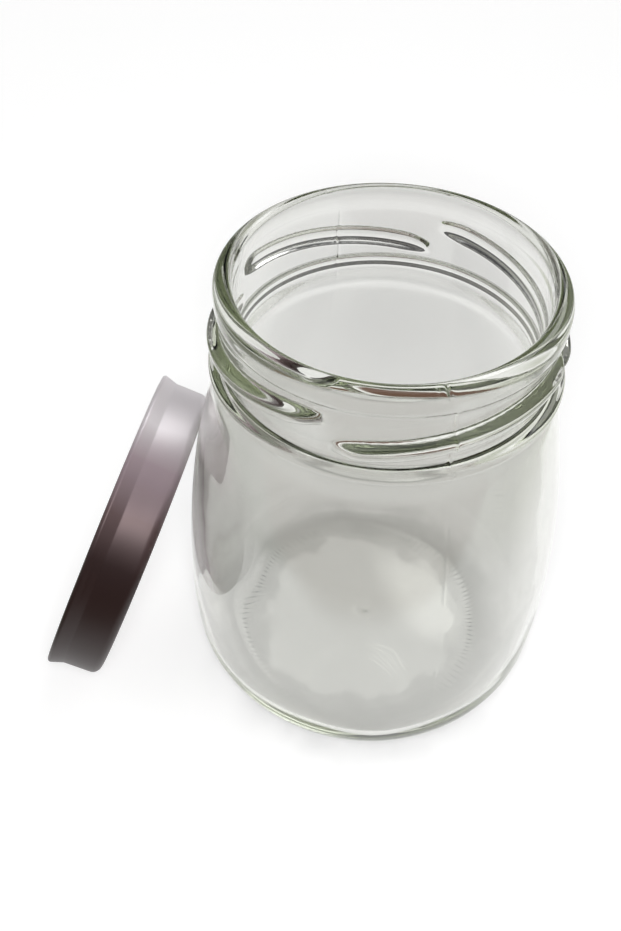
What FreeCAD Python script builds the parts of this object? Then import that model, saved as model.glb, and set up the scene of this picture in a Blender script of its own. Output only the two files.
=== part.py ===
"""A lug-top glass jar with its metal twist-off lid leaning against the shoulder.

The jar is one solid of revolution with a four-start lug finish on its neck. The lid is a
thin metal shell with a rolled curl and four inward lugs, and a soft gasket ring seated in
it. The lid stands on its panel's edge and rests against the jar. Millimetres, +Z up, and
the origin is under the middle of the pair, on the surface that they stand on.
"""

import FreeCAD
import Part
import Sketcher

import math
import os

SIZES = {
    # Body of the jar
    "jar_height": 100.0,
    "belly_radius": 38.9,
    "belly_level": 22.0,
    "wall": 2.7,
    "heel_radius": 16.0,
    "heel_sink": 0.9,
    "inner_heel_radius": 10.0,
    "bearing_land": 1.4,
    "pushup_depth": 2.2,
    "base_thickness": 5.0,
    "floor_dome": 1.6,
    # Neck: radii are steps from the lip, levels are drops from the top
    "lip_radius": 30.0,
    "lip_wall": 3.4,
    "lip_outer_round": 2.0,
    "lip_inner_round": 1.2,
    "lip_band": 4.2,
    "lip_underside": 0.8,
    "neck_inset": 0.6,
    "bead_proud": 1.7,
    "bead_drop": 17.2,
    "bead_above": 2.0,
    "bead_below": 1.7,
    "shoulder_proud": 0.35,
    "inner_shoulder_drop": 5.8,
    "inner_shoulder_step": 2.1,
    "inner_shoulder_slope": 32.0,
    "inner_shoulder_ease": 12.0,
    # Lugs of the jar's finish
    "lug_starts": 4.0,
    "lug_proud": 1.5,
    "lug_span": 87.0,
    "lug_azimuth": -103.5,
    "lug_rise": 5.2,
    "lug_drop": 12.8,
    "lug_base_width": 4.4,
    "lug_tip_width": 2.0,
    "lug_crown": 0.5,
    "lug_root": 0.9,
    "lug_end_sink": 0.05,
    # Lid
    "lid_height": 11.0,
    "sheet": 0.35,
    "curl_clearance": 0.15,
    "curl_width": 1.5,
    "curl_flare": 0.8,
    "flare_height": 3.4,
    "panel_round": 1.8,
    "channel_width": 5.6,
    "channel_step": 1.2,
    "panel_recess": 0.7,
    "ear_count": 4.0,
    "ear_span": 26.0,
    "ear_reach": 1.1,
    "ear_azimuth": 40.0,
    # Gasket
    "gasket_width": 5.2,
    "gasket_thickness": 1.1,
    "gasket_round": 0.35,
    # Pose of the lid
    "lid_lean": 21.0,
    "lid_azimuth": -3.3,
    "lid_slide": -7.0,
    "lid_clearance": 0.1,
}

# How the lug's and the ear's sections are spread, and the shares of a lug's length and tip
# width over which it fades at each end
LUG_SECTIONS = 11
EAR_SECTIONS = 7
LUG_FADE = 0.16
LUG_END_TIP = 0.4


class Size:
    """A value worked out from the sheet, kept with the formula that binds it there."""

    def __init__(self, value, formula):
        self.value = value
        self.formula = formula

    @staticmethod
    def of(other):
        """Turns a plain number into a Size and leaves a Size as it is."""
        return other if isinstance(other, Size) else Size(other, repr(other))

    def joined(self, other, sign, value):
        """Joins two formulas with a sign and keeps the value given for them."""
        return Size(value, f"({self.formula} {sign} {other.formula})")

    def __add__(self, other):
        other = Size.of(other)
        return self.joined(other, "+", self.value + other.value)

    def __sub__(self, other):
        other = Size.of(other)
        return self.joined(other, "-", self.value - other.value)

    def __mul__(self, other):
        other = Size.of(other)
        return self.joined(other, "*", self.value * other.value)

    def __truediv__(self, other):
        other = Size.of(other)
        return self.joined(other, "/", self.value / other.value)

    def squared(self):
        """Square of the size."""
        return self * self

    def root(self):
        """Square root of the size."""
        return Size(math.sqrt(self.value), f"sqrt({self.formula})")

    def sine(self):
        """Sine of the size, taken as degrees."""
        return Size(math.sin(math.radians(self.value)), f"sin({self.formula})")

    def cosine(self):
        """Cosine of the size, taken as degrees."""
        return Size(math.cos(math.radians(self.value)), f"cos({self.formula})")


def make_sheet(document):
    """Writes the driving sizes into a sheet and returns them as an object of named Sizes."""
    sheet = document.addObject("Spreadsheet::Sheet", "Sizes")
    named = type("Sizes", (), {})()
    for row, (alias, number) in enumerate(SIZES.items(), start=1):
        sheet.set(f"A{row}", alias)
        sheet.set(f"B{row}", str(number))
        sheet.setAlias(f"B{row}", alias)
        setattr(named, alias, Size(number, f"Sizes.{alias}"))
    document.recompute()
    return named


def make_body(document, name):
    """Adds an empty body whose label names its file."""
    body = document.addObject("PartDesign::Body", name)
    body.Label = name
    return body


def origin_feature(body, role):
    """Finds one of the body's own origin planes or axes by its role."""
    return next(item for item in body.Origin.OriginFeatures if item.Role == role)


def arc_middle(start, end, radius, side):
    """Middle point of the short arc from start to end that bulges left (+1) or right (-1)."""
    chord = end - start
    rise = radius - math.sqrt(radius**2 - (chord.Length / 2) ** 2)
    left = FreeCAD.Vector(-chord.y, chord.x, 0).normalize()
    return (start + end) / 2 + left * (rise * side)


def add_outline(body, name, corners, arcs=None, azimuth=None):
    """Sketches a closed outline in an upright plane through the body's axis.

    corners is a list of (radius, level). A zero stands for a corner on an axis. arcs maps
    the index of a corner to the (radius, side) of the arc that leaves it. azimuth turns
    the plane about the body's axis.
    """
    arcs = arcs or {}
    sketch = body.newObject("Sketcher::SketchObject", name)
    sketch.AttachmentSupport = [(origin_feature(body, "XZ_Plane"), "")]
    sketch.MapMode = "FlatFace"
    if azimuth is not None:
        turn = FreeCAD.Rotation(FreeCAD.Vector(0, 1, 0), azimuth.value)
        sketch.AttachmentOffset = FreeCAD.Placement(FreeCAD.Vector(), turn)
        sketch.setExpression("AttachmentOffset.Rotation.Angle", azimuth.formula)
    points = [FreeCAD.Vector(Size.of(x).value, Size.of(y).value, 0) for x, y in corners]
    starts = []
    for index, start in enumerate(points):
        end = points[(index + 1) % len(points)]
        if index in arcs:
            radius, side = arcs[index]
            middle = arc_middle(start, end, radius.value, side)
            sketch.addGeometry(Part.Arc(start, middle, end), False)
        else:
            sketch.addGeometry(Part.LineSegment(start, end), False)
        first = sketch.getPoint(index, 1)
        starts.append(1 if (first - start).Length < (first - end).Length else 2)
    for index, (x, y) in enumerate(corners):
        following = (index + 1) % len(points)
        own_end = 3 - starts[index]
        sketch.addConstraint(
            Sketcher.Constraint("Coincident", index, own_end, following, starts[following])
        )
        locate(sketch, index, starts[index], "DistanceX", -2, x)
        locate(sketch, index, starts[index], "DistanceY", -1, y)
        if index in arcs:
            add_bound(sketch, Sketcher.Constraint("Radius", index, arcs[index][0].value), arcs[index][0])
    return sketch


def locate(sketch, geometry, end, kind, axis, size):
    """Places one end of a side at a bound distance from the origin, or on the axis."""
    if size == 0:
        sketch.addConstraint(Sketcher.Constraint("PointOnObject", geometry, end, axis))
        return
    add_bound(sketch, Sketcher.Constraint(kind, -1, 1, geometry, end, size.value), size)


def add_bound(sketch, constraint, size):
    """Adds a constraint and binds it to a size's formula."""
    index = sketch.addConstraint(constraint)
    sketch.setExpression(f"Constraints[{index}]", size.formula)


def revolve(body, sketch, name):
    """Turns a sketch all the way round the body's upright axis."""
    turned = body.newObject("PartDesign::Revolution", name)
    turned.Profile = sketch
    turned.ReferenceAxis = (sketch, ["V_Axis"])
    turned.Angle = 360.0
    return turned


def loft(body, sketches, name):
    """Adds a smooth ridge through sketches."""
    lofted = body.newObject("PartDesign::AdditiveLoft", name)
    lofted.Profile = sketches[0]
    lofted.Sections = sketches[1:]
    return lofted


def repeat_round(body, feature, name, count):
    """Repeats a feature evenly round the body's axis, count times."""
    pattern = body.newObject("PartDesign::PolarPattern", name)
    pattern.Originals = [feature]
    pattern.Axis = (origin_feature(body, "Z_Axis"), [""])
    pattern.Angle = 360.0
    pattern.Occurrences = int(count.value)
    pattern.setExpression("Occurrences", count.formula)
    body.Tip = pattern
    return pattern


def fade(share, ends):
    """Smooth rise from 0 to 1 over the first and the last stretch of a ridge."""
    near = min(share, 1 - share) / ends
    return math.sin(min(near, 1) * math.pi / 2)


class JarShape:
    """Radii, levels and arcs that the jar's outline shares with its lugs and the lid."""

    def __init__(self, sizes):
        self.neck = sizes.lip_radius - sizes.neck_inset
        self.mouth = sizes.lip_radius - sizes.lip_wall
        self.lug = sizes.lip_radius + sizes.lug_proud
        self.bead = sizes.lip_radius + sizes.bead_proud
        self.shoulder = sizes.lip_radius + sizes.shoulder_proud
        self.bead_level = sizes.jar_height - sizes.bead_drop
        self.shoulder_level = self.bead_level - sizes.bead_below
        # The side is one arc, upright at the belly and ending at the shoulder.
        self.side = self.side_arc(
            sizes.belly_radius - self.shoulder, self.shoulder_level - sizes.belly_level
        )
        self.side_centre = sizes.belly_radius - self.side

    @staticmethod
    def side_arc(inset, height):
        """Radius of an arc that starts upright and has gone in by inset at that height."""
        return (inset.squared() + height.squared()) / (inset * 2)


def ogee(reach, height):
    """Radius of the two equal arcs of an S that starts and ends upright."""
    return (reach.squared() + height.squared()) / (reach * 4)


def heel_points(side, centre, level, radius, bottom):
    """Arc of a heel that runs from flat at the bottom into a side arc, tangent to both.

    Gives the radius where the heel leaves the bottom, and the tangent point's radius and
    level on the side.
    """
    drop = level - bottom - radius
    reach = ((side - radius).squared() - drop.squared()).root()
    scale = side / (side - radius)
    return centre + reach, centre + reach * scale, level - drop * scale


def jar_corners(sizes, shape):
    """Outline of half the jar: up the outside from the base, and down the inside."""
    top = sizes.jar_height
    heel_bottom = Size.of(0.0) - sizes.heel_sink
    flat, heel_side, heel_level = heel_points(
        shape.side, shape.side_centre, sizes.belly_level, sizes.heel_radius, heel_bottom
    )
    # The heel's arc would reach its lowest point just under the floor, and ends on it.
    heel = flat + (sizes.heel_sink * (sizes.heel_radius * 2 - sizes.heel_sink)).root()
    floor_centre = sizes.pushup_depth + sizes.base_thickness
    floor_edge = floor_centre - sizes.floor_dome
    inner_belly = sizes.belly_radius - sizes.wall
    ease_level = shape.shoulder_level - sizes.inner_shoulder_drop
    ease_radius = shape.mouth + sizes.inner_shoulder_step
    inner_side = shape.side_arc(inner_belly - ease_radius, ease_level - sizes.belly_level)
    inner_centre = inner_belly - inner_side
    inner_heel, inner_heel_side, inner_heel_level = heel_points(
        inner_side, inner_centre, sizes.belly_level, sizes.inner_heel_radius, floor_edge
    )
    # Inside, the neck bends out to the shoulder's slope and eases back into the side.
    ease_sine = (ease_level - sizes.belly_level) / inner_side
    ease_cosine = (Size.of(1.0) - ease_sine.squared()).root()
    slope_sine = sizes.inner_shoulder_slope.sine()
    slope_cosine = sizes.inner_shoulder_slope.cosine()
    ease = sizes.inner_shoulder_ease
    bend_radius = ease_radius - ease * (ease_cosine - slope_cosine)
    bend_level = ease_level + ease * (slope_sine - ease_sine)
    bend = (bend_radius - shape.mouth) / (Size.of(1.0) - slope_cosine)
    land = heel - sizes.bearing_land
    pushup = (land.squared() + sizes.pushup_depth.squared()) / (sizes.pushup_depth * 2)
    dome = (inner_heel.squared() + sizes.floor_dome.squared()) / (sizes.floor_dome * 2)
    below = ogee(shape.bead - shape.shoulder, sizes.bead_below)
    above = ogee(shape.bead - shape.neck, sizes.bead_above)
    corners = [
        (0, sizes.pushup_depth),
        (land, 0),
        (heel, 0),
        (heel_side, heel_level),
        (shape.shoulder, shape.shoulder_level),
        ((shape.shoulder + shape.bead) / 2, shape.bead_level - sizes.bead_below / 2),
        (shape.bead, shape.bead_level),
        ((shape.neck + shape.bead) / 2, shape.bead_level + sizes.bead_above / 2),
        (shape.neck, shape.bead_level + sizes.bead_above),
        (shape.neck, top - sizes.lip_band - sizes.lip_underside),
        (sizes.lip_radius, top - sizes.lip_band),
        (sizes.lip_radius, top - sizes.lip_outer_round),
        (sizes.lip_radius - sizes.lip_outer_round, top),
        (shape.mouth + sizes.lip_inner_round, top),
        (shape.mouth, top - sizes.lip_inner_round),
        (shape.mouth, bend_level + bend * slope_sine),
        (bend_radius, bend_level),
        (ease_radius, ease_level),
        (inner_heel_side, inner_heel_level),
        (inner_heel, floor_edge),
        (0, floor_centre),
    ]
    arcs = {
        0: (pushup, 1),
        2: (sizes.heel_radius, -1),
        3: (shape.side, -1),
        4: (below, 1),
        5: (below, -1),
        6: (above, -1),
        7: (above, 1),
        11: (sizes.lip_outer_round, -1),
        13: (sizes.lip_inner_round, -1),
        15: (bend, -1),
        16: (ease, 1),
        17: (inner_side, 1),
        18: (sizes.inner_heel_radius, 1),
        19: (dome, -1),
    }
    return corners, arcs


def lug_section(body, sizes, shape, place):
    """Section across one lug at a share of its length: a ridge with a rounded crown.

    Both ends of the lug sink just under the neck, so that it grows out of the glass.
    """
    share = place / (LUG_SECTIONS - 1)
    height = fade(share, LUG_FADE)
    azimuth = sizes.lug_azimuth + sizes.lug_span * share
    level = sizes.jar_height - sizes.lug_drop + sizes.lug_rise * share
    root = shape.neck - sizes.lug_root
    crown = shape.neck - sizes.lug_end_sink + (shape.lug - shape.neck + sizes.lug_end_sink) * height
    half_base = sizes.lug_base_width / 2
    half_tip = sizes.lug_tip_width / 2 * (LUG_END_TIP + (1 - LUG_END_TIP) * height)
    tip = crown - sizes.lug_crown
    arc = (half_tip.squared() + sizes.lug_crown.squared()) / (sizes.lug_crown * 2)
    corners = [
        (root, level - half_base),
        (tip, level - half_tip),
        (tip, level + half_tip),
        (root, level + half_base),
    ]
    return add_outline(body, f"LugSection{place + 1:02d}", corners, {1: (arc, -1)}, azimuth)


def make_jar(document, sizes, shape):
    """One glass solid: base, belly, shoulder, bead, lugs and lip."""
    body = make_body(document, "jar")
    corners, arcs = jar_corners(sizes, shape)
    revolve(body, add_outline(body, "JarOutline", corners, arcs), "JarWall")
    sections = [lug_section(body, sizes, shape, place) for place in range(LUG_SECTIONS)]
    lug = loft(body, sections, "Lug")
    repeat_round(body, lug, "Lugs", sizes.lug_starts)
    return body


class LidShape:
    """Radii of the lid, taken from the jar's finish that it has to fit."""

    def __init__(self, sizes, shape):
        self.wire = sizes.curl_width / 2
        self.curl = shape.lug + sizes.curl_clearance + sizes.curl_width
        self.curl_centre = self.curl - self.wire
        self.skirt = self.curl - sizes.curl_flare
        self.flat = self.skirt - sizes.panel_round
        self.channel = self.flat - sizes.channel_width
        self.panel = self.channel - sizes.channel_step


def lid_corners(sizes, lid):
    """Outline of half the lid's shell: along the outside to the curl, and back inside."""
    top = sizes.lid_height
    sunk = top - sizes.panel_recess
    sheet = sizes.sheet
    inner_wire = lid.wire - sheet
    curl_top = sizes.curl_width
    corners = [
        (0, sunk),
        (lid.panel, sunk),
        (lid.channel, top),
        (lid.flat, top),
        (lid.skirt, top - sizes.panel_round),
        (lid.skirt, sizes.flare_height),
        (lid.curl, lid.wire),
        (lid.curl_centre, 0),
        (lid.curl_centre - lid.wire, lid.wire),
        (lid.curl_centre, curl_top),
        (lid.curl_centre, curl_top - sheet),
        (lid.curl_centre - inner_wire, lid.wire),
        (lid.curl_centre, sheet),
        (lid.curl - sheet, lid.wire),
        (lid.skirt - sheet, sizes.flare_height),
        (lid.skirt - sheet, top - sizes.panel_round),
        (lid.flat, top - sheet),
        (lid.channel, top - sheet),
        (lid.panel, sunk - sheet),
        (0, sunk - sheet),
    ]
    arcs = {
        3: (sizes.panel_round, 1),
        6: (lid.wire, 1),
        7: (lid.wire, 1),
        8: (lid.wire, 1),
        10: (inner_wire, -1),
        11: (inner_wire, -1),
        12: (inner_wire, -1),
        15: (sizes.panel_round - sheet, -1),
    }
    return corners, arcs


def ear_section(body, sizes, lid, place):
    """Round section across one ear of the curl, pushed in towards the axis.

    It ends half-way through the curl's sheet, so that the ear grows out of the curl.
    """
    share = place / (EAR_SECTIONS - 1)
    push = math.sin(math.pi * share) ** 2
    azimuth = sizes.ear_azimuth + sizes.ear_span * share
    centre = lid.curl_centre - sizes.ear_reach * push
    radius = lid.wire - sizes.sheet / 2
    corners = [
        (centre + radius, lid.wire),
        (centre, lid.wire + radius),
        (centre - radius, lid.wire),
        (centre, lid.wire - radius),
    ]
    arcs = {index: (radius, -1) for index in range(4)}
    return add_outline(body, f"EarSection{place + 1}", corners, arcs, azimuth)


def make_lid_shell(document, sizes, lid):
    """Thin metal shell: panel, channel, skirt, rolled curl and four inward ears."""
    body = make_body(document, "lid_shell")
    corners, arcs = lid_corners(sizes, lid)
    revolve(body, add_outline(body, "LidOutline", corners, arcs), "LidSheet")
    sections = [ear_section(body, sizes, lid, place) for place in range(EAR_SECTIONS)]
    ear = loft(body, sections, "Ear")
    repeat_round(body, ear, "Ears", sizes.ear_count)
    return body


def make_lid_gasket(document, sizes, lid):
    """Soft ring that lies flat against the inner face of the lid's channel.

    Its two edges towards the jar's lip are rounded.
    """
    body = make_body(document, "lid_gasket")
    seat = sizes.lid_height - sizes.sheet
    face = seat - sizes.gasket_thickness
    inner = lid.flat - sizes.gasket_width
    edge = sizes.gasket_round
    corners = [
        (inner, face + edge),
        (inner + edge, face),
        (lid.flat - edge, face),
        (lid.flat, face + edge),
        (lid.flat, seat),
        (inner, seat),
    ]
    arcs = {0: (edge, -1), 2: (edge, -1)}
    revolve(body, add_outline(body, "GasketOutline", corners, arcs), "GasketRing")
    return body


class LidPose:
    """Where the lid stands: on its panel's round edge, with its top against the side.

    The lid leans towards the jar in an upright plane through its own axis. Seen in that
    plane, the round edge of the panel is one circle, which touches the ground at its
    lower end and the arc of the jar's side at its upper end.
    """

    def __init__(self, sizes, shape, lid):
        sine = sizes.lid_lean.sine()
        cosine = sizes.lid_lean.cosine()
        half = sizes.lid_height / 2 - sizes.panel_round
        self.level = lid.flat * cosine + half * sine + sizes.panel_round
        touch_level = lid.flat * cosine * 2 + sizes.panel_round
        reach = shape.side + sizes.panel_round + sizes.lid_clearance
        height = touch_level - sizes.belly_level
        touch = shape.side_centre + (reach.squared() - height.squared()).root()
        self.distance = touch + lid.flat * sine + half * cosine
        # Extent of the curl away from the jar along X
        turn = sizes.lid_azimuth
        toward = cosine * turn.cosine()
        across = (Size.of(1.0) - toward.squared()).root()
        out = (sizes.lid_height / 2 - lid.wire) * toward + lid.curl_centre * across + lid.wire
        self.left = self.distance * turn.cosine() + sizes.lid_slide * turn.sine()
        self.back = self.distance * turn.sine() - sizes.lid_slide * turn.cosine()
        self.jar_offset = (self.left + out - sizes.belly_radius) / 2


def place_jar(body, pose):
    """Moves the jar along X, so that the pair's middle is over the origin."""
    body.setExpression("Placement.Base.x", pose.jar_offset.formula)


def place_on_lid(body, sizes, pose):
    """Leans a sub-part of the lid, which is modelled upright with its open rim at zero."""
    azimuth = sizes.lid_azimuth
    half = sizes.lid_height / 2
    sine = sizes.lid_lean.sine()
    cosine = sizes.lid_lean.cosine()
    axis = FreeCAD.Vector(-azimuth.sine().value, azimuth.cosine().value, 0)
    turn = FreeCAD.Rotation(axis, 90.0 + sizes.lid_lean.value)
    body.Placement = FreeCAD.Placement(FreeCAD.Vector(), turn)
    base_x = pose.jar_offset - pose.left - half * cosine * azimuth.cosine()
    base_y = Size.of(0.0) - pose.back - half * cosine * azimuth.sine()
    body.setExpression("Placement.Base.x", base_x.formula)
    body.setExpression("Placement.Base.y", base_y.formula)
    body.setExpression("Placement.Base.z", (pose.level + half * sine).formula)
    body.setExpression("Placement.Rotation.Angle", (sizes.lid_lean + 90.0).formula)
    body.setExpression("Placement.Rotation.Axis.x", (Size.of(0.0) - azimuth.sine()).formula)
    body.setExpression("Placement.Rotation.Axis.y", azimuth.cosine().formula)


def check_document(document, bodies):
    """Stops if any object failed or any sub-part isn't one valid solid."""
    for item in document.Objects:
        if "Invalid" in item.State or "Error" in item.State:
            raise RuntimeError(f"{item.Name} failed: {item.State}")
    for body in bodies:
        shape = body.Shape
        if shape.isNull() or not shape.isValid() or len(shape.Solids) != 1:
            raise RuntimeError(f"{body.Label} isn't one valid solid")


def export(bodies):
    """Writes each body to its own STEP file and prints its volume and box."""
    os.makedirs("parts", exist_ok=True)
    for body in bodies:
        body.Shape.exportStep(f"parts/{body.Label}.step")
        box = body.Shape.BoundBox
        print(f"{body.Label}: {body.Shape.Volume:.1f} mm3, box {box}")


def main():
    """Builds the jar and the lid's two sub-parts, places them and writes them."""
    document = FreeCAD.newDocument("LugJar")
    sizes = make_sheet(document)
    shape = JarShape(sizes)
    lid = LidShape(sizes, shape)
    pose = LidPose(sizes, shape, lid)
    jar = make_jar(document, sizes, shape)
    shell = make_lid_shell(document, sizes, lid)
    gasket = make_lid_gasket(document, sizes, lid)
    place_jar(jar, pose)
    place_on_lid(shell, sizes, pose)
    place_on_lid(gasket, sizes, pose)
    document.recompute()
    bodies = [jar, shell, gasket]
    check_document(document, bodies)
    export(bodies)


main()
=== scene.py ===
"""A clear glass twist-off jar with its metal lid leaning against its side.

The jar and both pieces of the lid are grid surfaces worked out with numpy from the same
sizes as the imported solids, which they replace. In the classes lengths are millimetres and
angles degrees, apart from the camera's and the waves', which are radians.
"""

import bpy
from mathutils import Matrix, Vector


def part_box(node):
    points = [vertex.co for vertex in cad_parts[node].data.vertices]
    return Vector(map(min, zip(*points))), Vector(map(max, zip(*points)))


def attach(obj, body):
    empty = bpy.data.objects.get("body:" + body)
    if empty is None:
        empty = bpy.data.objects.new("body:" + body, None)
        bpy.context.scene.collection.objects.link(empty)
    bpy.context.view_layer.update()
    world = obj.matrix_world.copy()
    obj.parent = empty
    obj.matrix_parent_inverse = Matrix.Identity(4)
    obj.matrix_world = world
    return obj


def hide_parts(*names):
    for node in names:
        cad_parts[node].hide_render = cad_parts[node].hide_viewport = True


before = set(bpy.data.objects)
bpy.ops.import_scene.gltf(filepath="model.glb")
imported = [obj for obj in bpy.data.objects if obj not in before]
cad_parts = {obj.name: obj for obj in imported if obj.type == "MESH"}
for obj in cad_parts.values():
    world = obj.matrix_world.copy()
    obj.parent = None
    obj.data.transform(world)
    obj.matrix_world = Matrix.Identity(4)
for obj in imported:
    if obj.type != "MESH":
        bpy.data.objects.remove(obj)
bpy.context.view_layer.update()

import logging
import math
from dataclasses import dataclass, field
from enum import Enum

import bpy
import numpy as np
from mathutils import Matrix, Vector

LOG = logging.getLogger("jar")
MM = 0.001
OUTLINE_STEP = 0.05


# ---- outlines and grids


def arc(start: tuple, end: tuple, radius: float, side: int) -> np.ndarray:
    """Points along the short arc between two points of an outline.

    The centre lies on the chord's perpendicular through its middle, sqrt(radius^2 minus
    half the chord squared) away from it.

    Args:
        start: Radius and level of the first point.
        end: Radius and level of the last point, which is left out.
        radius: Radius of the arc.
        side: 1 if the arc bulges to the left of its travel, -1 if to the right.

    Returns:
        An array of points, one row each.
    """
    a, b = np.array(start, float), np.array(end, float)
    chord = b - a
    length = np.hypot(*chord)
    left = np.array([-chord[1], chord[0]]) / length
    centre = (a + b) / 2 - left * side * math.sqrt(radius**2 - (length / 2) ** 2)
    first = math.atan2(*(a - centre)[::-1])
    sweep = -side * 2 * math.asin(min(length / 2 / radius, 1.0))
    count = max(int(abs(sweep) * radius / OUTLINE_STEP), 8)
    angles = first + sweep * np.arange(count) / count
    return centre + radius * np.column_stack([np.cos(angles), np.sin(angles)])


def line(start: tuple, end: tuple) -> np.ndarray:
    """Evenly spaced points on a straight side of an outline, without its last point."""
    a, b = np.array(start, float), np.array(end, float)
    count = max(int(np.hypot(*(b - a)) / OUTLINE_STEP), 2)
    return a + (b - a) * (np.arange(count) / count)[:, None]


def path(corners: list, arcs: dict, closed: bool) -> np.ndarray:
    """Runs along an outline's corners, with straight or round sides.

    Args:
        corners: (radius, level) of each corner.
        arcs: Index of a corner to the (radius, side) of the arc that leaves it.
        closed: True if the last corner joins the first.

    Returns:
        Dense points along the outline.
    """
    sides = len(corners) if closed else len(corners) - 1
    parts = []
    for index in range(sides):
        start, end = corners[index], corners[(index + 1) % len(corners)]
        parts.append(arc(start, end, *arcs[index]) if index in arcs else line(start, end))
    if not closed:
        parts.append(np.array([corners[-1]], float))
    return np.vstack(parts)


def travelled(points: np.ndarray) -> np.ndarray:
    """Distance along a run of points, starting at nought."""
    return np.concatenate([[0.0], np.cumsum(np.hypot(*np.diff(points, axis=0).T))])


def soften(points: np.ndarray, spread: float, closed: bool, step: float = 0.04) -> np.ndarray:
    """Rounds the corners of an outline: a Gaussian average along its length.

    Args:
        points: Dense points of the outline.
        spread: Standard deviation of the average, as a length.
        closed: True for a loop. An open outline keeps its ends and is mirrored past them.
        step: Spacing of the points that it works on.

    Returns:
        Evenly spaced points of the softened outline.
    """
    run = np.vstack([points, points[:1]]) if closed else points
    along = travelled(run)
    even = np.linspace(0, along[-1], int(along[-1] / step) + 1)
    dense = np.column_stack([np.interp(even, along, run[:, k]) for k in (0, 1)])
    reach = int(4 * spread / step)
    kernel = np.exp(-0.5 * (np.arange(-reach, reach + 1) * step / spread) ** 2)
    kernel /= kernel.sum()
    if closed:
        before, after = dense[-reach - 1 : -1], dense[1 : reach + 1]
    else:
        before = 2 * dense[0] - dense[reach:0:-1]
        after = 2 * dense[-1] - dense[-2 : -reach - 2 : -1]
    padded = np.vstack([before, dense, after])
    return np.column_stack([np.convolve(padded[:, k], kernel, "valid") for k in (0, 1)])


def spaced(points: np.ndarray, density: np.ndarray, count: int, closed: bool) -> np.ndarray:
    """Picks points along an outline so that their spacing is one over a density.

    Args:
        points: Dense, evenly spaced points.
        density: Wanted number of points per length at each of them.
        count: Number of points to return.
        closed: True for a loop, where the last point isn't repeated.

    Returns:
        The picked points.
    """
    along = travelled(points)
    weight = np.concatenate([[0.0], np.cumsum((density[1:] + density[:-1]) / 2 * np.diff(along))])
    wanted = np.linspace(0, weight[-1], count, endpoint=not closed)
    at = np.interp(wanted, weight, along)
    return np.column_stack([np.interp(at, along, points[:, k]) for k in (0, 1)])


def smoothstep(low: float, high: float, x: np.ndarray) -> np.ndarray:
    """Rises smoothly from 0 at low to 1 at high: 3t^2 - 2t^3."""
    share = np.clip((x - low) / (high - low), 0, 1)
    return share * share * (3 - 2 * share)


def between(band: tuple, x: np.ndarray) -> np.ndarray:
    """Rises smoothly from 0 to 1 over a band's first two values, and falls over the others."""
    return smoothstep(band[0], band[1], x) * smoothstep(band[3], band[2], x)


def bell(x: np.ndarray, middle: float, spread: float) -> np.ndarray:
    """A Gaussian: e to the minus square of the distance from its middle over its spread."""
    return np.exp(-(((x - middle) / spread) ** 2))


def ring_faces(rings: int, around: int, closed: bool) -> np.ndarray:
    """Four corners of each face between neighbouring rings of a grid.

    Args:
        rings: Number of rings.
        around: Points in each ring.
        closed: True if the last ring joins the first.

    Returns:
        One row of four point numbers per face.
    """
    ring = np.arange(rings if closed else rings - 1)[:, None]
    near, far = ring * around, (ring + 1) % rings * around
    column = np.arange(around)[None, :]
    following = (column + 1) % around
    quads = [near + column, near + following, far + following, far + column]
    return np.stack(quads, axis=-1).reshape(-1, 4)


def pole_fans(rings: int, around: int) -> list:
    """Triangles that close a grid at the two poles, whose points come after the grid's own.

    Args:
        rings: Number of rings.
        around: Points in each ring.

    Returns:
        Three point numbers per face, for the first ring's pole and for the last ring's.
    """
    ring = np.arange(around)
    following = (ring + 1) % around
    last = (rings - 1) * around
    pole = np.full(around, rings * around)
    first_fan = np.column_stack([pole, following, ring])
    last_fan = np.column_stack([pole + 1, last + ring, last + following])
    return [first_fan, last_fan]


def turn_round(reach: np.ndarray, level: np.ndarray, angle: np.ndarray) -> np.ndarray:
    """Points (reach cos angle, reach sin angle, level) of a grid, one row each."""
    x, y = reach * np.cos(angle), reach * np.sin(angle)
    return np.stack([x, y, np.broadcast_to(level, x.shape)], axis=-1).reshape(-1, 3)


def make_piece(name: str, points: np.ndarray, quads: np.ndarray, fans: list) -> bpy.types.Object:
    """Puts a grid into a smooth-shaded mesh object at the origin.

    Args:
        name: Name of the piece.
        points: One row (x, y, z) per point, in millimetres.
        quads: Four point numbers per face.
        fans: Triangles that close the poles, as arrays of three point numbers per face.

    Returns:
        The new object, linked to the scene.
    """
    mesh = bpy.data.meshes.new(name)
    groups = [quads, *fans]
    loops = np.concatenate([group.ravel() for group in groups]).astype(np.int32)
    sizes = np.concatenate([np.full(len(group), group.shape[1]) for group in groups])
    starts = (np.cumsum(sizes) - sizes).astype(np.int32)
    mesh.vertices.add(len(points))
    mesh.vertices.foreach_set("co", (points * MM).astype(np.float32).ravel())
    mesh.loops.add(len(loops))
    mesh.loops.foreach_set("vertex_index", loops)
    mesh.polygons.add(len(sizes))
    mesh.polygons.foreach_set("loop_start", starts)
    mesh.polygons.foreach_set("use_smooth", np.ones(len(sizes), bool))
    mesh.update(calc_edges=True)
    mesh.validate()
    piece = bpy.data.objects.new(name, mesh)
    bpy.context.scene.collection.objects.link(piece)
    return piece


# ---- materials


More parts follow.
